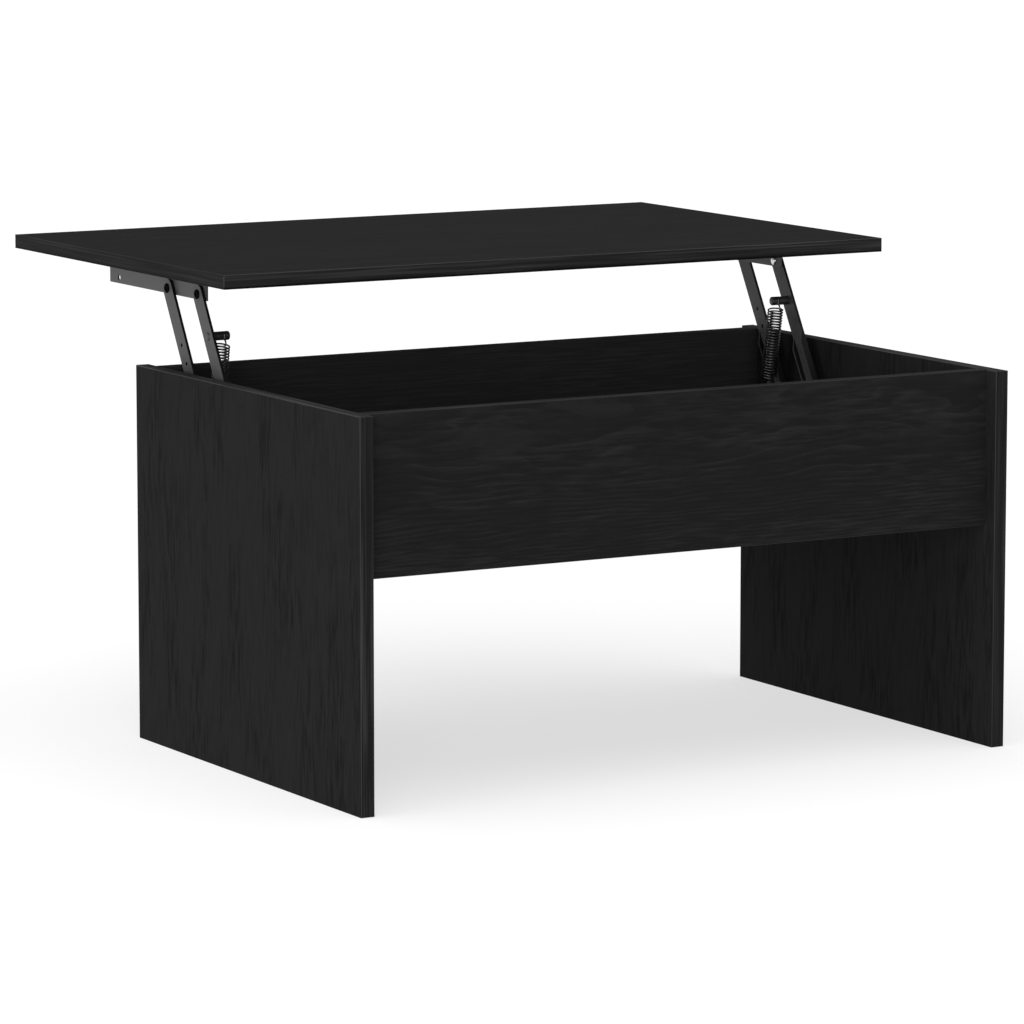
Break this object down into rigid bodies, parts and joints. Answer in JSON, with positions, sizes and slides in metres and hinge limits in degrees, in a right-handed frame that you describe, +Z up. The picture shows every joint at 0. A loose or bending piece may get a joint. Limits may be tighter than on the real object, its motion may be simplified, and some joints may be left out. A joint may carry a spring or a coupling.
{
  "type": "lift top coffee table",
  "caption": "Coffee table with two board sides, a storage box between them, and a top that lifts up and back on spring-assisted parallel arms.",
  "frame": {"origin": "on the floor, under the middle of the table's outline with the top raised", "axes": "+X along the table's length, +Y from the user's side to the back, +Z up"},
  "size_m": [0.8, 0.7678, 0.5167],
  "materials": {
    "board": "matt black oak decor with a fine open grain",
    "edge_band": "matt black oak decor strip, grain along its length",
    "mechanism_steel": "satin dark grey powder coat on sheet steel",
    "pin_steel": "zinc plated, satin",
    "spring_steel": "dark, lightly oiled spring wire",
    "screw_steel": "zinc plated",
    "washer_nylon": "black nylon",
    "fitting_zinc": "die-cast zinc",
    "dowel": "plain beech"
  },
  "bodies": {
    "carcass": {"back_panel": "board", "back_panel_bottom_edge_band": "edge_band", "back_panel_cam_nuts": "fitting_zinc", "back_panel_top_edge_band": "edge_band", "bottom_cam_nuts": "fitting_zinc", "bottom_panel": "board", "front_panel": "board", "front_panel_bottom_edge_band": "edge_band", "front_panel_cam_nuts": "fitting_zinc", "front_panel_top_edge_band": "edge_band", "left_base_channel": "mechanism_steel", "left_cam_bolts": "fitting_zinc", "left_channel_screws": "screw_steel", "left_dowels": "dowel", "left_front_lower_pivot": "pin_steel", "left_rear_lower_pivot": "pin_steel", "left_side_back_edge_band": "edge_band", "left_side_front_edge_band": "edge_band", "left_side_panel": "board", "left_side_top_edge_band": "edge_band", "left_spring_anchor": "pin_steel", "left_stop_stud": "pin_steel", "lower_washers": "washer_nylon", "right_base_channel": "mechanism_steel", "right_cam_bolts": "fitting_zinc", "right_channel_screws": "screw_steel", "right_dowels": "dowel", "right_front_lower_pivot": "pin_steel", "right_rear_lower_pivot": "pin_steel", "right_side_back_edge_band": "edge_band", "right_side_front_edge_band": "edge_band", "right_side_panel": "board", "right_side_top_edge_band": "edge_band", "right_spring_anchor": "pin_steel", "right_stop_stud": "pin_steel"},
    "rear_arms": {"left_rear_arm": "mechanism_steel", "right_rear_arm": "mechanism_steel"},
    "front_arms": {"left_front_arm": "mechanism_steel", "left_spring_post": "pin_steel", "right_front_arm": "mechanism_steel", "right_spring_post": "pin_steel"},
    "top": {"left_front_upper_pivot": "pin_steel", "left_rail_screws": "screw_steel", "left_rear_upper_pivot": "pin_steel", "left_top_rail": "mechanism_steel", "right_front_upper_pivot": "pin_steel", "right_rail_screws": "screw_steel", "right_rear_upper_pivot": "pin_steel", "right_top_rail": "mechanism_steel", "tabletop": "board", "tabletop_back_edge_band": "edge_band", "tabletop_front_edge_band": "edge_band", "tabletop_left_edge_band": "edge_band", "tabletop_right_edge_band": "edge_band", "upper_washers": "washer_nylon"},
    "spring_heads": {"left_spring_coil": "spring_steel", "right_spring_coil": "spring_steel"},
    "spring_feet": {"left_spring_tail": "spring_steel", "right_spring_tail": "spring_steel"}
  },
  "joints": [
    {"name": "lift", "type": "hinge", "parent": "carcass", "child": "rear_arms", "pos_m": [0, 0.00178, 0.3235], "axis": [1, 0, 0], "range_deg": [0, 101.8]},
    {"name": "front_arm_swing", "type": "hinge", "parent": "carcass", "child": "front_arms", "pos_m": [0, -0.06842, 0.3235], "axis": [1, 0, 0], "range_deg": [0, 101.8]},
    {"name": "top_level", "type": "hinge", "parent": "rear_arms", "child": "top", "pos_m": [0, 0.09328, 0.48198], "axis": [1, 0, 0], "range_deg": [-101.8, 0]},
    {"name": "spring_swing", "type": "hinge", "parent": "front_arms", "child": "spring_heads", "pos_m": [0, -0.00117, 0.43998], "axis": [1, 0, 0], "range_deg": [-33.19, 0]},
    {"name": "spring_stretch", "type": "slide", "parent": "spring_heads", "child": "spring_feet", "axis": [0, 0.1732, -0.9849], "range_m": [0, 0.10042], "deforming": ["left_spring_coil", "right_spring_coil", "left_spring_tail", "right_spring_tail"]}
  ],
  "couplings": [
    {"joint": "front_arm_swing", "follows": "lift", "ratio": 1},
    {"joint": "top_level", "follows": "lift", "ratio": -1},
    {"joint": "spring_swing", "follows": "lift", "ratio": -0.32589},
    {"joint": "spring_stretch", "follows": "lift", "m_per_rad": 0.056464}
  ]
}
